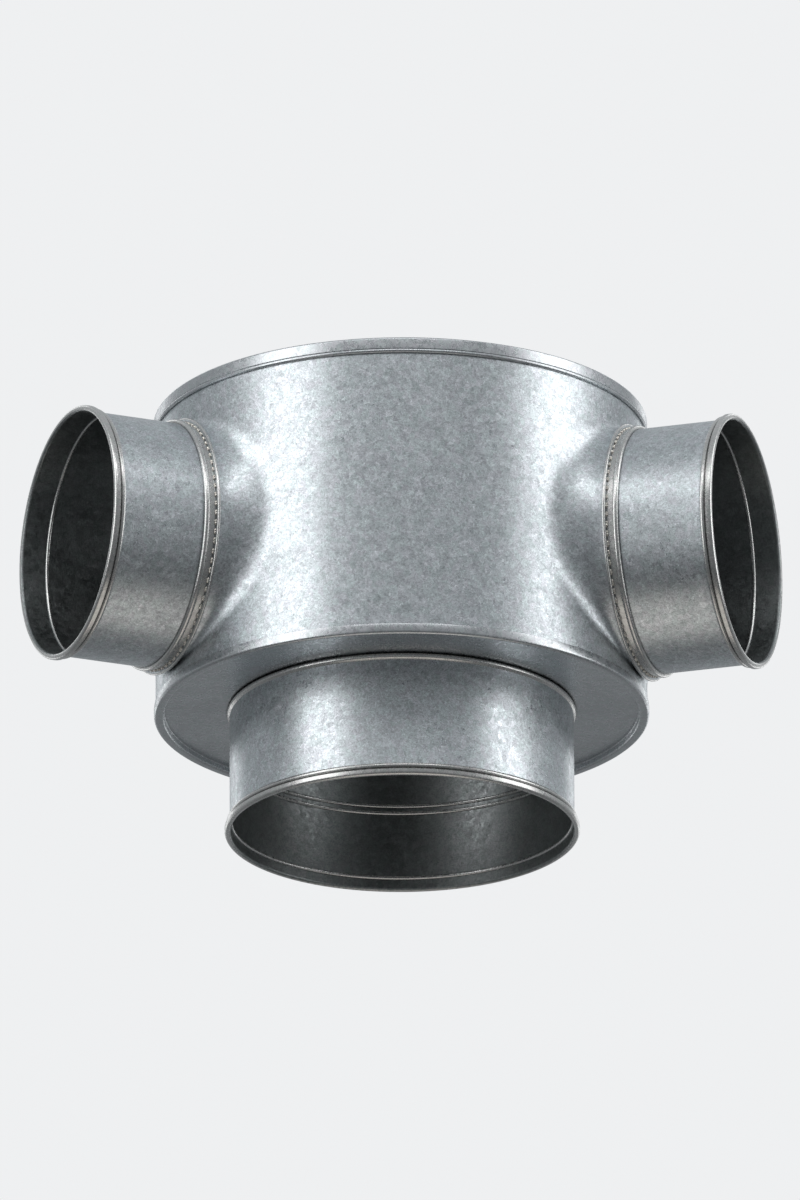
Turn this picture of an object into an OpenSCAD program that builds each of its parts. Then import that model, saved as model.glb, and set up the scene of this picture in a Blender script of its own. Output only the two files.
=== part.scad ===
// Round plenum box in galvanised sheet: a drum with rolled end rims, one large
// spigot underneath and two smaller spigots on stitch-welded necks at the sides.
// Millimetres, +Z up. The origin is on the drum's axis, in the plane of the
// bottom spigot's mouth, which is the face that the box stands on.

/* [Drum] */
// Outer diameter of the drum's wall
drum_d = 400; // [390:1:460]
// Height of the box over its two rolled rims
box_h = 255; // [250:1:300]
// Thickness of the sheet
sheet = 1; // [0.8:0.1:1.2]
// Width of the lock seam down the back of the drum
seam_w = 9; // [6:0.5:14]
// Height of the lock seam above the wall
seam_h = 1.3; // [0.8:0.1:1.6]

/* [End rims] */
// How deep the top cap's disc lies below its rim
cap_recess = 6; // [4:0.5:12]
// How deep the bottom plate lies inside its rim
plate_recess = 5.5; // [5:0.5:8]
// Width of the bottom rim's flat lip
lip_w = 8; // [7:0.5:14]
// Height of the bottom rim's skirt on the drum
skirt_h = 8.5; // [7:0.5:14]
// Height of the plain band round the top cap
band_h = 9.5; // [6:0.5:16]
// Radius of the bead below that band
cap_bead_r = 1.3; // [0.8:0.1:2]

/* [Bottom spigot] */
// Outer diameter of the bottom spigot's tube
bottom_d = 280; // [240:1:300]
// Length of the bottom spigot below the box
bottom_l = 100; // [85:1:160]
// Depth of the inner rib next to the mouth
mouth_rib_m = 11; // [9:0.5:16]
// Depth of the double rib further in
double_rib_m = 70; // [30:1:80]

/* [Side spigots] */
// Outer diameter of the side spigots' tubes
side_d = 200; // [180:1:204]
// Distance from the drum's axis to a side mouth
side_reach = 294; // [275:1:340]
// Height of the side spigots' axes above the box's bottom edge
side_up = 120; // [114:1:124]
// Angle by which each side spigot is turned to the front
side_turn = 20; // [5:1:35]
// Depth of the stop rib inside a side mouth
stop_rib_m = 23; // [16:0.5:40]

/* [Mouth rims] */
// How far a mouth's rolled edge stands out from its tube
rim_out = 4.2; // [3.6:0.1:5]
// Radius of the bead behind the rolled edge
bead_r = 1.7; // [1:0.1:2.2]
// Height of the inner ribs
rib_h = 1.6; // [0.8:0.1:2.4]
// Width of the inner ribs
rib_w = 3; // [2:0.1:4]

/* [Necks and collars] */
// How far a neck's lip stands beyond the drum's wall
neck_out = 4.6; // [4:0.1:10]
// Fillet between neck and drum at its top and bottom
fillet_min = 1.6; // [1:0.1:1.8]
// Fillet between neck and drum at its sides
fillet_max = 16; // [6:1:20]
// Radial height of the hemmed ridge on the neck's lip
ridge_h = 4; // [3:0.1:6]
// Thickness of that ridge
ridge_w = 2.6; // [2:0.1:3]
// Length of the collar's plain band
collar_band = 5.6; // [4:0.1:10]
// Radius of the collar's bead
collar_bead_r = 2; // [1:0.1:2.6]
// Leg of the stitch welds between ridge and collar
weld_leg = 2; // [1:0.1:2.6]
// Number of stitch welds round each collar
welds = 80; // [40:1:90]
// Share of the seam that the stitch welds cover
weld_share = 0.7; // [0.4:0.05:0.9]

/* [Hidden] */
$fn = 96;

galvanised = [0.66, 0.68, 0.70];
bright_edge = [0.78, 0.79, 0.80];
weld_tint = [0.74, 0.70, 0.64];

// Clearances between pieces that slip over each other
slip = 0.1;
neck_slip = 0.3;

// Drum and its ends
drum_r = drum_d / 2;
box_z = bottom_l;
top_z = box_z + box_h;
plate_z = box_z + plate_recess + sheet / 2;
disc_z = top_z - cap_recess - sheet / 2;

// Radius of a sheet's centre line where it bends
bend = 1.5;

// Side spigots
side_z = box_z + side_up;
side_r = side_d / 2;
left_dir = 180 + side_turn;
right_dir = -side_turn;

// Neck drawn out of the drum's wall, in the side spigot's own frame
neck_r = side_r + neck_slip + sheet;
lip_d = drum_r + neck_out;
ridge_d = lip_d - ridge_w;
neck_sides = 60;
fillet_steps = 5;
fillet_end = 0.9;
core_d = drum_r * 0.6;

// Collar round the side spigot, from the neck's lip outwards
collar_r = side_r + slip + sheet / 2;
collar_start = lip_d + slip;
collar_bead_d = collar_start + collar_band + collar_bead_r;
collar_end = collar_bead_d + collar_bead_r + sheet / 2;
// How far the side tube reaches into its neck
tube_in = lip_d - 12;

// Unit vector from one point to another
function heading(p, q) = (q - p) / norm(q - p);
// The same vector turned a quarter turn to the left
function turned(d) = [-d[1], d[0]];
// Point i of a path moved sideways by s, mitred where the path bends
function shifted(path, i, s) =
    let (last = len(path) - 1,
         a = turned(heading(path[max(i - 1, 0)], path[max(i, 1)])),
         b = turned(heading(path[min(i, last - 1)], path[min(i + 1, last)])),
         m = (a + b) / 2)
    path[i] + m * s / (m * m);
// Outline of a sheet of thickness t whose centre line is a path
function sheet_outline(path, t) = concat(
    [for (i = [0:len(path) - 1]) shifted(path, i, t / 2)],
    [for (i = [len(path) - 1:-1:0]) shifted(path, i, -t / 2)]);
// Points along an arc
function arc(centre, r, from, to, steps = 6) =
    [for (i = [0:steps]) centre + r * [cos(from + (to - from) * i / steps),
                                       sin(from + (to - from) * i / steps)]];

// Sheet metal turned about the axis, from the path of its centre line
module spun(path) {
    rotate_extrude() polygon(sheet_outline(path, sheet));
}

// Solid rib on the inside of a tube of inner radius r, at height m
module rib(r, m, w = rib_w, h = rib_h) {
    rotate_extrude()
        polygon(concat([[r + sheet / 2, m + w / 2], [r + sheet / 2, m - w / 2]],
                       [for (a = [0:22.5:180]) [r - h * sin(a), m - w / 2 * cos(a)]]));
}

// Centre line of a mouth's rolled edge and bead, from the tube outwards and back;
// r is the tube's centre line and the mouth's plane is at height 0
function mouth_path(r) =
    let (curl = rim_out / 2,
         edge_z = curl + sheet / 2,
         back_r = r + sheet + slip,
         bead_z = edge_z + rim_out + bead_r)
    concat(arc([r + curl, edge_z], curl, 180, 360),
           [[r + rim_out, edge_z + 1.8]],
           arc([back_r, bead_z], bead_r, -90, 90),
           [[back_r, bead_z + bead_r + sheet / 2]]);

// Places what is drawn along +Z onto a side spigot's axis
module on_side(direction) {
    rotate([0, 0, direction])
        translate([0, 0, side_z])
            rotate([0, 90, 0])
                children();
}

// Radius of the neck's fillet at angle a round the neck, 0 at its sides
function fillet(a) = fillet_min + (fillet_max - fillet_min) * pow(cos(a), 2);
// Direction a share t of the way from unit vector u to unit vector v
function between(u, v, t) =
    let (w = acos(u * v))
    (u * sin((1 - t) * w) + v * sin(t * w)) / sin(w);
// One line of the neck's skin, from its lip down into the drum. A ball that rolls
// between tube and drum gives the fillet; under is how deep the skin lies.
function neck_line(a, under) =
    let (ball = fillet(a),
         reach = neck_r + ball,
         y = reach * cos(a),
         z = sqrt(pow(drum_r + ball, 2) - y * y),
         centre = [reach * sin(a), y, z],
         to_tube = [-sin(a), -cos(a), 0],
         to_drum = -[0, y, z] / (drum_r + ball),
         foot = centre + to_drum * (ball + under))
    concat([[(neck_r - under) * sin(a), (neck_r - under) * cos(a), lip_d]],
           [for (i = [0:fillet_steps])
               centre + (ball + under) * between(to_tube, to_drum, fillet_end * i / fillet_steps)],
           [foot + to_drum * sheet * 1.5],
           [[foot[0], foot[1], core_d]]);

// Solid plug bounded by the neck's skin, open to nothing
module neck_plug(under, extra = 0) {
    rows = [for (i = [0:neck_sides - 1]) neck_line(360 * i / neck_sides, under)];
    n = len(rows[0]);
    raised = [for (row = rows) concat([row[0] + [0, 0, extra]], [for (j = [1:n - 1]) row[j]])];
    points = concat([for (row = raised) each row],
                    [[0, 0, lip_d + extra], [0, 0, core_d]]);
    top = neck_sides * n;
    faces = [for (i = [0:neck_sides - 1])
        let (k = (i + 1) % neck_sides)
        each concat(
            [for (j = [0:n - 2]) each [[i * n + j, k * n + j + 1, k * n + j],
                                       [i * n + j, i * n + j + 1, k * n + j + 1]]],
            [[top, i * n, k * n], [top + 1, k * n + n - 1, i * n + n - 1]])];
    polyhedron(points, faces, convexity = 6);
}

// Hemmed ridge round the lip of a neck
module neck_ridge() {
    edge = ridge_w / 2;
    rotate_extrude()
        polygon(concat([[neck_r - sheet / 2, ridge_d], [neck_r + ridge_h - edge, ridge_d]],
                       arc([neck_r + ridge_h - edge, ridge_d + edge], edge, -60, 60, 4),
                       [[neck_r + ridge_h - edge, lip_d], [neck_r - sheet / 2, lip_d]]));
}

// Rolled wall with its two drawn necks and the lock seam at the back
module drum_shell() {
    wall_low = box_z + sheet * 1.5;
    wall_high = top_z - sheet * 3;
    seam_low = box_z + skirt_h + 1;
    seam_high = top_z - band_h - 2 * cap_bead_r - 3;
    seam_angle = seam_w / drum_r * 180 / PI;
    color(galvanised) {
        difference() {
            union() {
                translate([0, 0, wall_low])
                    cylinder(r = drum_r, h = wall_high - wall_low);
                on_side(left_dir) neck_plug(0);
                on_side(right_dir) neck_plug(0);
            }
            translate([0, 0, box_z])
                cylinder(r = drum_r - sheet, h = box_h);
            on_side(left_dir) neck_plug(sheet, 1);
            on_side(right_dir) neck_plug(sheet, 1);
        }
        on_side(left_dir) neck_ridge();
        on_side(right_dir) neck_ridge();
        rotate([0, 0, 90 - seam_angle / 2])
            rotate_extrude(angle = seam_angle)
                translate([drum_r - sheet / 2, seam_low])
                    square([seam_h + sheet / 2, seam_high - seam_low]);
    }
}

// Closed lid: recessed disc, rolled top edge, band and bead
module top_cap() {
    chuck_r = drum_r - sheet * 1.5 - slip / 2;
    skirt_r = drum_r + sheet / 2 + 0.65;
    foot_r = drum_r + sheet / 2 + slip;
    roll = (skirt_r - chuck_r) / 2;
    bead_z = top_z - band_h - 0.8 - cap_bead_r;
    color(galvanised)
        spun(concat([[0, disc_z]],
                    arc([chuck_r - bend, disc_z + bend], bend, -90, 0, 4),
                    arc([chuck_r + roll, top_z - sheet / 2 - roll], roll, 180, 0, 8),
                    [[skirt_r, top_z - band_h]],
                    arc([foot_r, bead_z], cap_bead_r, 90, -90),
                    [[foot_r, bead_z - cap_bead_r - sheet / 2]]));
}

// Annular plate with its rolled rim; the bottom spigot passes through it
module bottom_plate() {
    skirt_r = drum_r + sheet / 2 + slip;
    turn_r = skirt_r + sheet / 2 - lip_w + sheet / 2;
    low = box_z + sheet / 2;
    hole_r = bottom_d / 2 + slip;
    color(galvanised)
        spun(concat([[hole_r, plate_z]],
                    arc([turn_r - bend, plate_z - bend], bend, 90, 0, 4),
                    arc([turn_r + bend, low + bend], bend, 180, 270, 4),
                    arc([skirt_r + 0.3 - 2, low + 2], 2, -90, 0, 5),
                    [[skirt_r + 0.3, box_z + skirt_h - 2], [skirt_r, box_z + skirt_h]]));
}

// Tube with a rolled mouth below and a bead and flange that grip the plate
module bottom_spigot() {
    r = bottom_d / 2 - sheet / 2;
    grip_r = 2;
    grip_low = plate_z - sheet / 2 - slip - sheet / 2 - 2 * grip_r;
    flange_z = plate_z + sheet + slip;
    color(galvanised) {
        spun(concat([[r + 7, flange_z]],
                    arc([r + bend, flange_z - bend], bend, 90, 180, 4),
                    [[r, grip_low + 2 * grip_r]],
                    arc([r, grip_low + grip_r], grip_r, 60, -60),
                    [[r, grip_low - sheet]],
                    mouth_path(r)));
        rib(r - sheet / 2, mouth_rib_m);
        rib(r - sheet / 2, double_rib_m - rib_w);
        rib(r - sheet / 2, double_rib_m + rib_w);
    }
}

// Tube with a rolled mouth and a stop rib, drawn from its mouth inwards
module side_tube() {
    r = side_r - sheet / 2;
    spun(concat([[r, side_reach - tube_in]], mouth_path(r)));
    rib(r - sheet / 2, stop_rib_m);
}

module side_spigot(direction) {
    color(galvanised)
        on_side(direction)
            translate([0, 0, side_reach])
                mirror([0, 0, 1])
                    side_tube();
}

// Sleeve with a bead, slipped over the side tube against the neck's lip
module collar(direction) {
    color(bright_edge)
        on_side(direction)
            spun(concat([[collar_r, collar_start]],
                        arc([collar_r, collar_bead_d], collar_bead_r, -90, 90),
                        [[collar_r, collar_end]]));
}

// Row of short fillet welds in the corner between collar and ridge
module weld(direction) {
    seat_r = collar_r + sheet / 2 + slip / 2;
    seat_d = lip_d + slip / 2;
    pitch = 360 / welds;
    color(weld_tint)
        on_side(direction)
            for (i = [0:welds - 1])
                rotate([0, 0, pitch * i])
                    rotate_extrude(angle = pitch * weld_share)
                        polygon(concat([[seat_r, seat_d]],
                                       arc([seat_r, seat_d], weld_leg, 0, 90, 4)));
}

module left_spigot() { side_spigot(left_dir); }
module right_spigot() { side_spigot(right_dir); }
module left_collar() { collar(left_dir); }
module right_collar() { collar(right_dir); }
module left_weld() { weld(left_dir); }
module right_weld() { weld(right_dir); }

drum_shell();
top_cap();
bottom_plate();
bottom_spigot();
left_spigot();
right_spigot();
left_collar();
right_collar();
left_weld();
right_weld();
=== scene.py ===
"""Looks of the round plenum box: smooth galvanised sheet, rolled rims and stitch welds."""

import math
import random

import bpy
from mathutils import Matrix, Vector

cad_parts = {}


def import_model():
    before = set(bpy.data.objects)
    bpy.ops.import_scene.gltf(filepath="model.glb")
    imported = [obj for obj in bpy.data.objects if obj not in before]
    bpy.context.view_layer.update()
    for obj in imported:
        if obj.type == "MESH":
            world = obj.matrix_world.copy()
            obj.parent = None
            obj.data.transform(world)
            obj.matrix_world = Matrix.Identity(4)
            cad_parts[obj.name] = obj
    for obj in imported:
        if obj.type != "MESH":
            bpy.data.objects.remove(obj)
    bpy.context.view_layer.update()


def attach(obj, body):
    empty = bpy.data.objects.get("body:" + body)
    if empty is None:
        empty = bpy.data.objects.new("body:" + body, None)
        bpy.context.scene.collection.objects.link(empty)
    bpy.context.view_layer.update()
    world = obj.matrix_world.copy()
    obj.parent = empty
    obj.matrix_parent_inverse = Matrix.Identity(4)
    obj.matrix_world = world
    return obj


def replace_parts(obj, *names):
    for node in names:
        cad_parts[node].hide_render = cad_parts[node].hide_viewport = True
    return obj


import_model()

# Driving sizes, in millimetres, as in the part's source
DRUM_D = 400.0
BOX_H = 255.0
SHEET = 1.0
SEAM_W = 9.0
SEAM_H = 1.3
CAP_RECESS = 6.0
PLATE_RECESS = 5.5
LIP_W = 8.0
SKIRT_H = 8.5
BAND_H = 9.5
BAND_OUT = 0.55
CAP_BEAD_R = 1.3
RIM_CORNER_R = 2.0
BOTTOM_D = 280.0
BOTTOM_L = 100.0
FLANGE_W = 7.0
GRIP_R = 2.0
MOUTH_RIB_M = 11.0
DOUBLE_RIB_M = 70.0
SIDE_D = 200.0
SIDE_REACH = 294.0
SIDE_UP = 120.0
SIDE_TURN = 20.0
TUBE_LAP = 12.0
STOP_RIB_M = 23.0
RIM_OUT = 4.2
EDGE_RISE = 1.8
BEAD_R = 1.7
RIB_H = 1.6
RIB_W = 3.0
NECK_OUT = 4.6
RIDGE_H = 4.0
RIDGE_W = 2.6
COLLAR_BAND = 5.6
COLLAR_BEAD_R = 2.0
WELD_LEG = 2.0
WELDS = 80
WELD_SHARE = 0.7
SLIP = 0.1
NECK_SLIP = 0.3
BEND = 1.5
CAP_STEP = 0.8
SKIRT_DRAFT = 0.3

# Gap between the lock seam and the rims
SEAM_GAP = 1.0
# How far a neck runs straight behind its ridge before it flares into the drum
NECK_STRAIGHT = 0.4

# Sizes that follow from them
DRUM_R = DRUM_D / 2
BOX_Z = BOTTOM_L
TOP_Z = BOX_Z + BOX_H
PLATE_Z = BOX_Z + PLATE_RECESS + SHEET / 2
DISC_Z = TOP_Z - CAP_RECESS - SHEET / 2
CAP_FOOT_Z = TOP_Z - BAND_H - CAP_STEP - 2 * CAP_BEAD_R - SHEET / 2
WALL_LOW = BOX_Z + SHEET * 1.5
WALL_HIGH = TOP_Z - SHEET * 3
SIDE_Z = BOX_Z + SIDE_UP
SIDE_R = SIDE_D / 2
NECK_R = SIDE_R + NECK_SLIP + SHEET
LIP_D = DRUM_R + NECK_OUT
RIDGE_D = LIP_D - RIDGE_W
FLARE_D = RIDGE_D - NECK_STRAIGHT
COLLAR_R = SIDE_R + SLIP + SHEET / 2
COLLAR_START = LIP_D + SLIP
SIDES = {"left": 180 + SIDE_TURN, "right": -SIDE_TURN}

# How finely the meshes are divided
METRE = 0.001
TURNS = 288
ARC_STEP = 12.0
SHARP_ANGLE = math.radians(32)
NECK_LINES = 216
FILLET_STEPS = 12
WEB_RINGS = 14
WEB_HALF_ANGLE = 41.0
WALL_STEP_ANGLE = 1.5
SEED = 7

# Looks: heights and reaches in metres
PALE = (0.86, 0.87, 0.88, 1)
NEEDLE_RELIEF = 0.000014
FACET_RELIEF = 0.022
# Reach of the painted shade: ambient occlusion darkens the steel's colour in crevices, corners and gaps between
# parts
PAINTED_SHADE_REACH = 0.003


def polar(angle):
    """Unit vector at an angle in degrees."""
    return Vector((math.cos(math.radians(angle)), math.sin(math.radians(angle))))


def arc(centre, radius, start, end):
    """Points along an arc, angles in degrees."""
    steps = max(2, math.ceil(abs(end - start) / ARC_STEP))
    return [Vector(centre) + radius * polar(start + (end - start) * i / steps) for i in range(steps + 1)]


def turned(direction):
    """A direction in the plane, turned a quarter turn to the left."""
    return Vector((-direction.y, direction.x))


def shifted(path, i, side):
    """Point i of a path moved sideways, mitred where the path bends."""
    last = len(path) - 1
    before = turned((path[max(i, 1)] - path[max(i - 1, 0)]).normalized())
    after = turned((path[min(i + 1, last)] - path[min(i, last - 1)]).normalized())
    mean = (before + after) / 2
    return path[i] + mean * (side / mean.length_squared)


def sheet_outline(path):
    """Closed outline of a sheet whose centre line is a path."""
    path = [Vector(p) for p in path]
    count = len(path)
    out = [shifted(path, i, SHEET / 2) for i in range(count)]
    back = [shifted(path, i, -SHEET / 2) for i in reversed(range(count))]
    return out + back


def new_piece(name, points, faces, materials, body="root"):
    """A mesh piece from points in millimetres, smooth apart from its real edges."""
    mesh = bpy.data.meshes.new(name)
    mesh.from_pydata([[c * METRE for c in p] for p in points], [], faces)
    mesh.validate()
    mesh.polygons.foreach_set("use_smooth", [True] * len(mesh.polygons))
    mesh.set_sharp_from_angle(angle=SHARP_ANGLE)
    for material in materials:
        mesh.materials.append(material)
    piece = bpy.data.objects.new(name, mesh)
    bpy.context.scene.collection.objects.link(piece)
    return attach(piece, body)


def spun(outline, place, turns=TURNS):
    """Points and faces of a closed outline turned about the axis that place puts in the frame."""
    area = sum(p.x * q.y - q.x * p.y for p, q in zip(outline, outline[1:] + outline[:1]))
    if area > 0:
        outline = outline[::-1]
    points, rows = [], []
    for p in outline:
        if abs(p.x) < 1e-6:
            rows.append([len(points)] * turns)
            points.append(place @ Vector((0, 0, p.y)))
            continue
        rows.append([len(points) + j for j in range(turns)])
        for j in range(turns):
            radial = polar(360 * j / turns) * p.x
            points.append(place @ Vector((radial.x, radial.y, p.y)))
    faces = []
    for low, high in zip(rows, rows[1:] + rows[:1]):
        if low[0] == low[1] and high[0] == high[1]:
            continue
        for j in range(turns):
            k = (j + 1) % turns
            corners = [low[j], high[j], high[k], low[k]]
            faces.append(list(dict.fromkeys(corners)))
    return points, faces


def joined(parts):
    """Points and faces of several shapes as one."""
    points, faces = [], []
    for part_points, part_faces in parts:
        start = len(points)
        points += part_points
        faces += [[start + i for i in f] for f in part_faces]
    return points, faces


def on_side(direction):
    """Puts what is drawn along +Z onto a side spigot's axis."""
    turn = Matrix.Rotation(math.radians(direction), 4, "Z")
    tip = Matrix.Rotation(math.radians(90), 4, "Y")
    return turn @ Matrix.Translation((0, 0, SIDE_Z)) @ tip


def rib_outline(radius, middle):
    """Outline of a solid rib on the inside of a tube."""
    wall = radius + SHEET / 4
    nose = [
        Vector((radius - RIB_H * math.sin(math.radians(a)), middle - RIB_W / 2 * math.cos(math.radians(a))))
        for a in range(0, 181, 12)
    ]
    return [Vector((wall, middle + RIB_W / 2)), Vector((wall, middle - RIB_W / 2))] + nose


def mouth_path(radius):
    """Centre line of a mouth's rolled edge and the bead behind it, its plane at height 0."""
    curl = RIM_OUT / 2
    edge_z = curl + SHEET / 2
    back_r = radius + SHEET + SLIP
    bead_z = edge_z + RIM_OUT + BEAD_R
    rolled = arc((radius + curl, edge_z), curl, 180, 360)
    bead = arc((back_r, bead_z), BEAD_R, -90, 90)
    return rolled + [(radius + RIM_OUT, edge_z + EDGE_RISE)] + bead + [(back_r, bead_z + BEAD_R + SHEET / 2)]


def top_cap_outline():
    """Recessed disc, rolled top edge, band and bead."""
    chuck_r = DRUM_R - SHEET * 1.5 - SLIP / 2
    foot_r = DRUM_R + SHEET / 2 + SLIP
    skirt_r = foot_r + BAND_OUT
    roll = (skirt_r - chuck_r) / 2
    bead_z = TOP_Z - BAND_H - CAP_STEP - CAP_BEAD_R
    path = [(0, DISC_Z)]
    path += arc((chuck_r - BEND, DISC_Z + BEND), BEND, -90, 0)
    path += arc((chuck_r + roll, TOP_Z - SHEET / 2 - roll), roll, 180, 0)
    path += [(skirt_r, TOP_Z - BAND_H)]
    path += arc((foot_r, bead_z), CAP_BEAD_R, 90, -90)
    path += [(foot_r, CAP_FOOT_Z)]
    return sheet_outline(path)


def bottom_plate_outline():
    """Annular plate with its rolled rim."""
    skirt_r = DRUM_R + SHEET / 2 + SLIP
    corner_r = skirt_r + SKIRT_DRAFT
    turn_r = skirt_r + SHEET - LIP_W
    low = BOX_Z + SHEET / 2
    path = [(BOTTOM_D / 2 + SLIP, PLATE_Z)]
    path += arc((turn_r - BEND, PLATE_Z - BEND), BEND, 90, 0)
    path += arc((turn_r + BEND, low + BEND), BEND, 180, 270)
    path += arc((corner_r - RIM_CORNER_R, low + RIM_CORNER_R), RIM_CORNER_R, -90, 0)
    path += [(corner_r, BOX_Z + SKIRT_H - RIM_CORNER_R), (skirt_r, BOX_Z + SKIRT_H)]
    return sheet_outline(path)


def bottom_spigot_outline():
    """Flange and bead that hold the plate, tube and rolled mouth."""
    r = BOTTOM_D / 2 - SHEET / 2
    grip_low = PLATE_Z - SHEET - SLIP - 2 * GRIP_R
    flange_z = PLATE_Z + SHEET + SLIP
    path = [(r + FLANGE_W, flange_z)]
    path += arc((r + BEND, flange_z - BEND), BEND, 90, 180)
    path += [(r, grip_low + 2 * GRIP_R)]
    path += arc((r, grip_low + GRIP_R), GRIP_R, 60, -60)
    path += [(r, grip_low - SHEET)]
    return sheet_outline(path + mouth_path(r))


def side_spigot_outline():
    """Side tube with its rolled mouth, along the spigot's axis from the drum outwards."""
    r = SIDE_R - SHEET / 2
    path = [(r, SIDE_REACH - LIP_D + TUBE_LAP)] + mouth_path(r)
    return [Vector((p.x, SIDE_REACH - p.y)) for p in sheet_outline(path)]


def collar_outline():
    """Sleeve with a bead."""
    bead_d = COLLAR_START + COLLAR_BAND + COLLAR_BEAD_R
    path = [(COLLAR_R, COLLAR_START)]
    path += arc((COLLAR_R, bead_d), COLLAR_BEAD_R, -90, 90)
    path += [(COLLAR_R, bead_d + COLLAR_BEAD_R + SHEET / 2)]
    return sheet_outline(path)


def flare(angle):
    """Radius of the neck's flare at an angle round the neck, 0 at its sides."""
    c = math.cos(math.radians(angle)) ** 2
    p, q = 1 - c, DRUM_R - NECK_R * c
    s = DRUM_R**2 - NECK_R**2 * c - FLARE_D**2
    if p < 0.001:
        return -s / (2 * q)
    return (math.sqrt(q * q - p * s) - q) / p


def neck_line(angle, under):
    """One line of the neck's skin in the side spigot's frame, from lip to drum wall."""
    ball = flare(angle)
    reach = NECK_R + ball
    s, c = math.sin(math.radians(angle)), math.cos(math.radians(angle))
    y = reach * c
    z = math.sqrt((DRUM_R + ball) ** 2 - y * y)
    centre = Vector((reach * s, y, z))
    to_tube = Vector((-s, -c, 0))
    to_drum = -Vector((0, y, z)) / (DRUM_R + ball)
    skin = [centre + (ball + under) * to_tube.slerp(to_drum, i / FILLET_STEPS) for i in range(FILLET_STEPS + 1)]
    out = Vector((s, c, 0))
    if under:
        return [out * (NECK_R - under) + Vector((0, 0, LIP_D))] + skin
    edge = RIDGE_W / 2
    nose = arc((NECK_R + RIDGE_H - edge, RIDGE_D + edge), edge, 90, -90)
    rim = nose + [Vector((NECK_R, RIDGE_D))]
    return [out * p.x + Vector((0, 0, p.y)) for p in rim] + skin


def web_edge(angle):
    """Where the line from a neck's hole at an angle meets the edge of its stretch of wall."""
    foot = neck_line(angle, SHEET)[-1]
    hole = Vector((math.atan2(foot.y, foot.z) * DRUM_R, -foot.x))
    half = math.radians(WEB_HALF_ANGLE) * DRUM_R
    high, low = WALL_HIGH - SIDE_Z, WALL_LOW - SIDE_Z
    limit = high if hole.y > 0 else low
    scale_x = half / abs(hole.x) if abs(hole.x) > 1e-6 else math.inf
    scale_y = limit / hole.y if abs(hole.y) > 1e-6 else math.inf
    return hole, hole * min(scale_x, scale_y), scale_x < scale_y


def web_edges():
    """Hole and edge points all round a neck, with the corners of the stretch among them."""
    found = [web_edge(360 * i / NECK_LINES) for i in range(NECK_LINES)]
    half = math.radians(WEB_HALF_ANGLE) * DRUM_R
    for x in (-half, half):
        for y in (WALL_HIGH - SIDE_Z, WALL_LOW - SIDE_Z):
            corner = Vector((x, y))
            nearest = min(range(NECK_LINES), key=lambda i: (found[i][1] - corner).length)
            found[nearest] = (found[nearest][0], corner, True)
    return found


def drum_skin(radius, under):
    """Points and quads of one side of the drum's wall with its necks, and its open edges."""
    points, faces = [], []
    edges = web_edges()
    columns = {}
    lips = []
    for side, direction in SIDES.items():
        place = on_side(direction)
        lines = []
        for i, (hole, edge, _) in enumerate(edges):
            line = [place @ p for p in neck_line(360 * i / NECK_LINES, under)]
            for ring in range(1, WEB_RINGS + 1):
                flat = hole.lerp(edge, ring / WEB_RINGS)
                around = polar(direction + math.degrees(flat.x / DRUM_R)) * radius
                line.append(Vector((around.x, around.y, SIDE_Z + flat.y)))
            lines.append([len(points) + j for j in range(len(line))])
            points += line
        for i, line in enumerate(lines):
            following = lines[(i + 1) % NECK_LINES]
            for j in range(len(line) - 1):
                faces.append([line[j], line[j + 1], following[j + 1], following[j]])
        lips.append([line[0] for line in lines])
        upright = [(edges[i][1].x, edges[i][1].y, lines[i][-1]) for i in range(NECK_LINES) if edges[i][2]]
        for sign in (-1, 1):
            column = sorted((y, index) for x, y, index in upright if x * sign > 0)
            columns[side, sign] = [index for _, index in column]
    spans = [
        (columns["left", 1], columns["right", -1], SIDES["left"], SIDES["right"] + 360),
        (columns["right", 1], columns["left", -1], SIDES["right"], SIDES["left"]),
    ]
    for first, last, start, end in spans:
        start, end = start + WEB_HALF_ANGLE, end - WEB_HALF_ANGLE
        steps = math.ceil((end - start) / WALL_STEP_ANGLE)
        before = first
        for step in range(1, steps + 1):
            if step == steps:
                column = last
            else:
                around = polar(start + (end - start) * step / steps) * radius
                column = [len(points) + j for j in range(len(first))]
                points += [Vector((around.x, around.y, points[index].z)) for index in first]
            for j in range(len(first) - 1):
                faces.append([before[j], column[j], column[j + 1], before[j + 1]])
            before = column
    return points, faces, lips


def open_loops(faces):
    """Directed edges that only one face uses."""
    used = {(f[i], f[(i + 1) % len(f)]) for f in faces for i in range(len(f))}
    return [e for e in used if (e[1], e[0]) not in used]


def coat(piece, place, radius, inner=1, edges=2):
    """Gives a tube a darker copy of the steel on its inside as painted shade, and its smooth rolled edges and ribs,
    by their distance from its axis.
    """
    to_axis = place.inverted()
    turn = to_axis.to_3x3()
    indices = []
    for face in piece.data.polygons:
        centre = to_axis @ (face.center / METRE)
        normal = turn @ face.normal
        distance = math.hypot(centre.x, centre.y)
        # Faces that look towards the axis get the darker steel: painted shade inside the tube
        inward = centre.x * normal.x + centre.y * normal.y < -0.3 * distance
        if distance > radius + SHEET / 4 or distance < radius - SHEET * 1.2:
            indices.append(edges)
        else:
            indices.append(inner if inward else 0)
    piece.data.polygons.foreach_set("material_index", indices)


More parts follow.
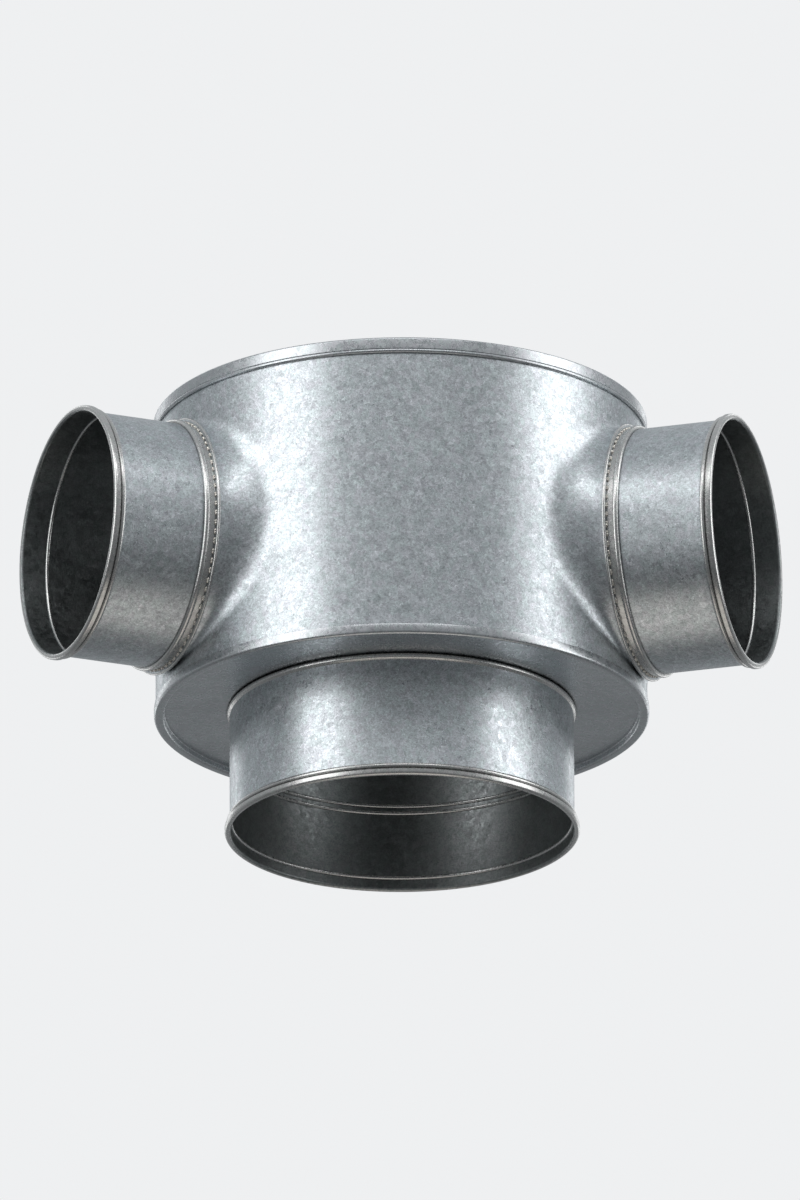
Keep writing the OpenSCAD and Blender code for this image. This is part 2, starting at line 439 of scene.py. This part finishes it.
def drum_shell(materials):
    """Rolled wall with two drawn necks, as one closed skin of the sheet's thickness."""
    outer, outer_faces, _ = drum_skin(DRUM_R, 0)
    inner, inner_faces, _ = drum_skin(DRUM_R - SHEET, SHEET)
    start = len(outer)
    extra = len(neck_line(0, 0)) - len(neck_line(0, SHEET))
    outer_line = len(neck_line(0, 0)) + WEB_RINGS
    inner_line = outer_line - extra
    web_points = 2 * NECK_LINES * outer_line

    def inside(index):
        """Index of the inner point that faces an outer edge point."""
        if index >= web_points:
            return start + index - web_points + 2 * NECK_LINES * inner_line
        line, j = divmod(index, outer_line)
        return start + line * inner_line + max(0, j - extra)

    faces = list(outer_faces) + [[start + i for i in reversed(f)] for f in inner_faces]
    faces += [[b, a, inside(a), inside(b)] for a, b in open_loops(outer_faces)]
    piece = new_piece("drum_wall", outer + inner, faces, materials)
    ridge_points = len(arc((0, 0), 1, 90, -90)) + 1
    in_ridge = [
        all(i < web_points and i % outer_line < ridge_points for i in p.vertices)
        for p in piece.data.polygons
    ]
    # Inner faces get the darker steel copy: painted shade on the drum's inside
    inner_face = [all(i >= start for i in p.vertices) for p in piece.data.polygons]
    piece.data.polygons.foreach_set("material_index", [1 if a else 2 * b for a, b in zip(in_ridge, inner_face)])
    return piece


def lock_seam(materials):
    """Folded seam down the back of the drum, with a raised hem along one side."""
    low, high = BOX_Z + SKIRT_H + SEAM_GAP, CAP_FOOT_Z - SEAM_GAP
    half = math.degrees(SEAM_W / 2 / DRUM_R)
    section = [
        (-half, DRUM_R - SHEET / 2),
        (-half, DRUM_R + SEAM_H * 0.75),
        (-half * 0.93, DRUM_R + SEAM_H),
        (half * 0.55, DRUM_R + SEAM_H),
        (half * 0.66, DRUM_R + SEAM_H * 0.45),
        (half * 0.93, DRUM_R + SEAM_H * 0.4),
        (half, DRUM_R + SEAM_H * 0.2),
        (half, DRUM_R - SHEET / 2),
    ]
    points, faces = [], []
    for z in (low, high):
        for angle, radius in section:
            around = polar(90 + angle) * radius
            points.append(Vector((around.x, around.y, z)))
    count = len(section)
    for i in range(count):
        k = (i + 1) % count
        faces.append([i, i + count, k + count, k])
    faces.append(list(range(count)))
    faces.append(list(range(2 * count - 1, count - 1, -1)))
    return new_piece("drum_lock_seam", points, faces, materials)


def stitch(place, start, length, rng):
    """One stitch weld: a rippled bead in the corner between collar and ridge."""
    seat_r = COLLAR_R + SHEET / 2 - SLIP
    seat_d = LIP_D - SLIP
    sections, around = 15, 9
    ripples = 2
    lean = rng.uniform(0.06, 0.14)
    fat = rng.uniform(0.85, 1.0)
    points, faces = [], []
    for i in range(sections + 1):
        share = i / sections
        end = math.sin(math.pi * min(1, max(0, share))) ** 0.45
        angle = start + length * share
        for j in range(around + 1):
            if j == around:
                ring = Vector((seat_r, seat_d))
            else:
                turn = 90 * j / (around - 1)
                wave = abs(math.sin(math.pi * ripples * (share + lean * j / around)))
                leg = WELD_LEG * fat * max(0.12, end) * (0.72 + 0.28 * wave)
                ring = Vector((seat_r, seat_d)) + polar(turn) * leg
            flat = polar(angle) * ring.x
            points.append(place @ Vector((flat.x, flat.y, ring.y)))
    ring_size = around + 1
    for i in range(sections):
        for j in range(ring_size):
            k = (j + 1) % ring_size
            low, high = i * ring_size, (i + 1) * ring_size
            faces.append([low + j, low + k, high + k, high + j])
    faces.append(list(reversed(range(ring_size))))
    faces.append(list(range(sections * ring_size, (sections + 1) * ring_size)))
    return points, faces


def weld_row(side, materials):
    """All stitch welds of one neck."""
    rng = random.Random(f"{SEED} {side}")
    place = on_side(SIDES[side])
    pitch = 360 / WELDS
    parts = []
    for i in range(WELDS):
        length = pitch * WELD_SHARE * rng.uniform(0.92, 1.12)
        start = pitch * (i + rng.uniform(-0.04, 0.04))
        parts.append(stitch(place, start, length, rng))
    points, faces = joined(parts)
    piece = new_piece(f"{side}_stitches", points, faces, materials)
    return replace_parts(piece, f"{side}_weld")


def add_node(tree, kind, inputs=None, **settings):
    """A shader node with its settings, values and links."""
    made = tree.nodes.new(kind)
    for key, value in settings.items():
        setattr(made, key, value)
    for key, value in (inputs or {}).items():
        if isinstance(value, bpy.types.NodeSocket):
            tree.links.new(value, made.inputs[key])
        else:
            made.inputs[key].default_value = value
    return made


def calculated(tree, operation, *values):
    """Result of a maths node."""
    return add_node(tree, "ShaderNodeMath", dict(enumerate(values)), operation=operation).outputs[0]


def ranged(tree, value, low, high, to_low, to_high):
    """A value carried from one range to another."""
    inputs = {"Value": value, "From Min": low, "From Max": high, "To Min": to_low, "To Max": to_high}
    return add_node(tree, "ShaderNodeMapRange", inputs).outputs["Result"]


def noise(tree, vector, scale, detail=2.0, roughness=0.5):
    """Noise texture node."""
    inputs = {"Vector": vector, "Scale": scale, "Detail": detail, "Roughness": roughness}
    return add_node(tree, "ShaderNodeTexNoise", inputs)


def voronoi(tree, vector, scale):
    """Voronoi texture node, whose cells stand for zinc crystals."""
    return add_node(tree, "ShaderNodeTexVoronoi", {"Vector": vector, "Scale": scale, "Randomness": 1.0})


def galvanised(name, colour, roughness, crystal=0.0065, contrast=1.0, bump=1.0):
    """Zinc-coated sheet: large and small crystals, needles inside them and soft clouds, with painted shade that
    darkens its colour in crevices and corners.
    """
    material = bpy.data.materials.new(name)
    material.use_nodes = True
    tree = material.node_tree
    tree.nodes.clear()
    place = add_node(tree, "ShaderNodeTexCoord").outputs["Object"]
    drift = noise(tree, place, 240.0).outputs["Color"]
    offset = add_node(tree, "ShaderNodeVectorMath", {0: drift, 1: (0.5, 0.5, 0.5)}, operation="SUBTRACT")
    warped = add_node(
        tree, "ShaderNodeVectorMath", {0: offset.outputs[0], 1: (0.004, 0.004, 0.004), 2: place},
        operation="MULTIPLY_ADD",
    ).outputs[0]
    large = voronoi(tree, warped, 1 / crystal)
    small = voronoi(tree, warped, 2.6 / crystal)
    large_parts = add_node(tree, "ShaderNodeSeparateColor", {"Color": large.outputs["Color"]})
    small_parts = add_node(tree, "ShaderNodeSeparateColor", {"Color": small.outputs["Color"]})
    angles = add_node(
        tree, "ShaderNodeVectorMath", {0: small.outputs["Color"], 1: (6.283, 6.283, 6.283)}, operation="MULTIPLY"
    ).outputs[0]
    spin = add_node(tree, "ShaderNodeVectorRotate", {"Vector": place, "Rotation": angles}, rotation_type="EULER_XYZ")
    drawn = add_node(tree, "ShaderNodeMapping", {"Vector": spin.outputs[0], "Scale": (1.0, 1.0, 0.2)})
    needles = noise(tree, drawn.outputs[0], 1300.0, 1.0).outputs["Fac"]
    clouds = noise(tree, place, 14.0, 3.0).outputs["Fac"]

    shade = calculated(tree, "MULTIPLY",
                       ranged(tree, large_parts.outputs[0], 0, 1, 1 - 0.08 * contrast, 1 + 0.08 * contrast),
                       ranged(tree, small_parts.outputs[1], 0, 1, 1 - 0.13 * contrast, 1 + 0.13 * contrast))
    shade = calculated(tree, "MULTIPLY", shade,
                       ranged(tree, needles, 0.35, 0.65, 1 - 0.22 * contrast, 1 + 0.22 * contrast))
    shade = calculated(tree, "MULTIPLY", shade, ranged(tree, clouds, 0.3, 0.7, 0.95, 1.05))
    # Painted shade: ambient occlusion darkens the base colour in crevices and between parts
    painted_crevice_shade = add_node(tree, "ShaderNodeAmbientOcclusion", {"Distance": PAINTED_SHADE_REACH}, samples=8).outputs["AO"]
    shade = calculated(tree, "MULTIPLY", shade, ranged(tree, painted_crevice_shade, 0.25, 0.8, 0.2, 1.0))
    tints = add_node(tree, "ShaderNodeMix", {"Factor": large_parts.outputs[2]}, data_type="RGBA")
    tints.inputs["A"].default_value = (colour[0] * 0.97, colour[1] * 1.01, colour[2], 1)
    tints.inputs["B"].default_value = (colour[0] * 1.02, colour[1] * 0.995, colour[2] * 1.02, 1)
    painted = add_node(
        tree, "ShaderNodeVectorMath", {0: tints.outputs["Result"], "Scale": shade}, operation="SCALE"
    ).outputs[0]

    rough = calculated(tree, "ADD",
                       ranged(tree, large_parts.outputs[1], 0, 1, roughness - 0.05, roughness + 0.05),
                       ranged(tree, small_parts.outputs[2], 0, 1, -0.05, 0.05))
    rough = calculated(tree, "ADD", rough, ranged(tree, clouds, 0.3, 0.7, 0.03, -0.03))

    lean = add_node(
        tree, "ShaderNodeVectorMath", {0: warped, 1: small.outputs["Position"]}, operation="SUBTRACT"
    ).outputs[0]
    slope = add_node(
        tree, "ShaderNodeVectorMath", {0: small.outputs["Color"], 1: (0.5, 0.5, 0.5)}, operation="SUBTRACT"
    ).outputs[0]
    facet = add_node(tree, "ShaderNodeVectorMath", {0: lean, 1: slope}, operation="DOT_PRODUCT").outputs["Value"]
    relief = calculated(tree, "MULTIPLY", facet, FACET_RELIEF)
    height = calculated(tree, "MULTIPLY_ADD", needles, NEEDLE_RELIEF, relief)
    normal = add_node(tree, "ShaderNodeBump", {"Height": height, "Strength": 1.0, "Distance": bump})
    shader = add_node(
        tree, "ShaderNodeBsdfPrincipled",
        {"Base Color": painted, "Metallic": 1.0, "Roughness": rough, "Normal": normal.outputs[0]},
    )
    add_node(tree, "ShaderNodeOutputMaterial", {"Surface": shader.outputs[0]})
    return material


def camera():
    """Long lens at the photograph's angle, a little to the left and from below."""
    aim_z = 0.180
    azimuth, elevation, roll = math.radians(-3.0), math.radians(-20.15), math.radians(-0.3)
    distance, lens = 20.0, 737.0
    shift_right, shift_up = -0.00084, 0.0207
    forward = Vector((
        -math.sin(azimuth) * math.cos(elevation), math.cos(azimuth) * math.cos(elevation), -math.sin(elevation)))
    data = bpy.data.cameras.new("camera")
    data.lens = lens
    data.sensor_width = 36.0
    data.clip_end = 200.0
    view = bpy.data.objects.new("camera", data)
    bpy.context.scene.collection.objects.link(view)
    turn = forward.to_track_quat("-Z", "Y")
    right, up = turn @ Vector((1, 0, 0)), turn @ Vector((0, 1, 0))
    aim = Vector((0, 0, aim_z)) + right * shift_right + up * shift_up
    view.location = aim - forward * distance
    view.rotation_mode = "QUATERNION"
    view.rotation_quaternion = turn @ Matrix.Rotation(roll, 3, "Z").to_quaternion()
    bpy.context.scene.camera = view


def area_lamp(name, azimuth, height, distance, size, radiance, colour=(1, 1, 1), aim_z=0.22):
    """Soft rectangular lamp that faces the object; azimuth 0 is in front, positive to the right."""
    data = bpy.data.lights.new(name, "AREA")
    data.shape = "RECTANGLE"
    data.size, data.size_y = size
    data.energy = radiance * math.pi * size[0] * size[1]
    data.color = colour
    lamp = bpy.data.objects.new(name, data)
    bpy.context.scene.collection.objects.link(lamp)
    a = math.radians(azimuth)
    lamp.location = (math.sin(a) * distance, -math.cos(a) * distance, height)
    lamp.rotation_mode = "QUATERNION"
    lamp.rotation_quaternion = (Vector((0, 0, aim_z)) - lamp.location).to_track_quat("-Z", "Y")


def lamps():
    """Two tall strips that draw the bright bands, a soft lamp above and warm light from below."""
    area_lamp("left_strip", -56, 0.9, 2.4, (1.3, 3.4), 1.75)
    area_lamp("right_strip", 73, 0.9, 2.4, (1.3, 3.4), 1.9)
    area_lamp("front_top", 0, 2.2, 2.2, (2.4, 0.8), 2.0)
    area_lamp("back_left", -150, 0.9, 2.6, (0.7, 3.2), 1.0)
    area_lamp("back_right", 150, 0.9, 2.6, (0.7, 3.2), 1.0)
    area_lamp("below", 0, -1.6, 0.05, (1.6, 1.6), 0.55, (1.0, 0.93, 0.85))


def world():
    """Pale background; what the metal shows of the studio is a soft grey gradient."""
    made = bpy.data.worlds.new("studio")
    bpy.context.scene.world = made
    made.use_nodes = True
    tree = made.node_tree
    tree.nodes.clear()
    ray = add_node(tree, "ShaderNodeLightPath")
    direction = add_node(tree, "ShaderNodeTexCoord").outputs["Generated"]
    parts = add_node(tree, "ShaderNodeSeparateXYZ", {"Vector": direction})
    upward = ranged(tree, parts.outputs["Z"], -0.7, 0.9, 0.14, 0.5)
    sideways = ranged(tree, parts.outputs["Y"], -1.0, 1.0, 0.8, 1.15)
    studio = add_node(
        tree, "ShaderNodeBackground",
        {"Color": (0.93, 0.97, 1.0, 1), "Strength": calculated(tree, "MULTIPLY", upward, sideways)})
    pale = add_node(tree, "ShaderNodeBackground", {"Color": PALE, "Strength": 1.0})
    mixed = add_node(
        tree, "ShaderNodeMixShader", {0: ray.outputs["Is Camera Ray"], 1: studio.outputs[0], 2: pale.outputs[0]})
    add_node(tree, "ShaderNodeOutputWorld", {"Surface": mixed.outputs[0]})


def floor():
    """Pale floor that the box stands on; it can be seen only from above."""
    material = bpy.data.materials.new("floor")
    material.use_nodes = True
    tree = material.node_tree
    tree.nodes.clear()
    place = add_node(tree, "ShaderNodeTexCoord").outputs["Object"]
    distance = add_node(tree, "ShaderNodeVectorMath", {0: place}, operation="LENGTH").outputs["Value"]
    far = ranged(tree, distance, 0.6, 2.2, 0, 1)
    near = add_node(tree, "ShaderNodeBsdfDiffuse", {"Color": (0.8, 0.81, 0.82, 1)})
    pale = add_node(tree, "ShaderNodeEmission", {"Color": PALE, "Strength": 1.0})
    top = add_node(tree, "ShaderNodeMixShader", {0: far, 1: near.outputs[0], 2: pale.outputs[0]})
    geometry = add_node(tree, "ShaderNodeNewGeometry")
    clear = add_node(tree, "ShaderNodeBsdfTransparent")
    both = add_node(
        tree, "ShaderNodeMixShader", {0: geometry.outputs["Backfacing"], 1: top.outputs[0], 2: clear.outputs[0]})
    add_node(tree, "ShaderNodeOutputMaterial", {"Surface": both.outputs[0]})
    half, level = 80.0, -0.0004
    mesh = bpy.data.meshes.new("floor")
    corners = [(-half, -half, level), (half, -half, level), (half, half, level), (-half, half, level)]
    mesh.from_pydata(corners, [], [(0, 1, 2, 3)])
    mesh.materials.append(material)
    ground = bpy.data.objects.new("floor", mesh)
    bpy.context.scene.collection.objects.link(ground)
    ground.visible_glossy = False
    ground.visible_transmission = False
    ground.visible_diffuse = False
    ground.visible_shadow = False


def build():
    """Every piece of the box, each in the place of its frame node."""
    wall = galvanised("drum_steel", (0.60, 0.635, 0.655), 0.37, crystal=0.005)
    # A darker, rougher copy of the steel for the insides of the tubes and drum: painted shade
    inside = galvanised("painted_shade_inside_steel", (0.27, 0.285, 0.285), 0.42, crystal=0.005, contrast=0.8)
    ends = galvanised("end_steel", (0.58, 0.60, 0.615), 0.30, crystal=0.004, contrast=0.35, bump=0.4)
    tube = galvanised("tube_steel", (0.60, 0.635, 0.655), 0.36, crystal=0.005)
    rolled = galvanised("rolled_steel", (0.64, 0.635, 0.62), 0.28, crystal=0.003, contrast=0.3, bump=0.4)
    bead = galvanised("weld_steel", (0.74, 0.70, 0.64), 0.25, crystal=0.002, contrast=0.6, bump=0.8)
    upright = Matrix.Identity(4)

    shell = drum_shell([wall, rolled, inside])
    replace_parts(shell, "drum_shell")
    lock_seam([wall])

    def turned_piece(name, node, outlines, place, material, tube_r=None):
        points, faces = joined([spun(o, place) for o in outlines])
        piece = new_piece(name, points, faces, [material, inside, rolled] if tube_r else [material])
        if tube_r:
            coat(piece, place, tube_r)
        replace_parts(piece, node)

    turned_piece("cap_shell", "top_cap", [top_cap_outline()], upright, ends)
    turned_piece("plate_shell", "bottom_plate", [bottom_plate_outline()], upright, ends)
    inner = BOTTOM_D / 2 - SHEET
    ribs = [rib_outline(inner, m) for m in (MOUTH_RIB_M, DOUBLE_RIB_M - RIB_W, DOUBLE_RIB_M + RIB_W)]
    bottom = [bottom_spigot_outline()] + ribs
    turned_piece("bottom_tube", "bottom_spigot", bottom, upright, tube, BOTTOM_D / 2)
    for side, direction in SIDES.items():
        place = on_side(direction)
        stop = rib_outline(SIDE_R - SHEET, SIDE_REACH - STOP_RIB_M)
        tube_pieces = [side_spigot_outline(), stop]
        turned_piece(f"{side}_tube", f"{side}_spigot", tube_pieces, place, tube, SIDE_R)
        turned_piece(f"{side}_sleeve", f"{side}_collar", [collar_outline()], place, rolled)
        weld_row(side, [bead])


def setup():
    """Plain view transform."""
    bpy.context.scene.view_settings.view_transform = "Standard"


setup()
camera()
build()
lamps()
world()
floor()
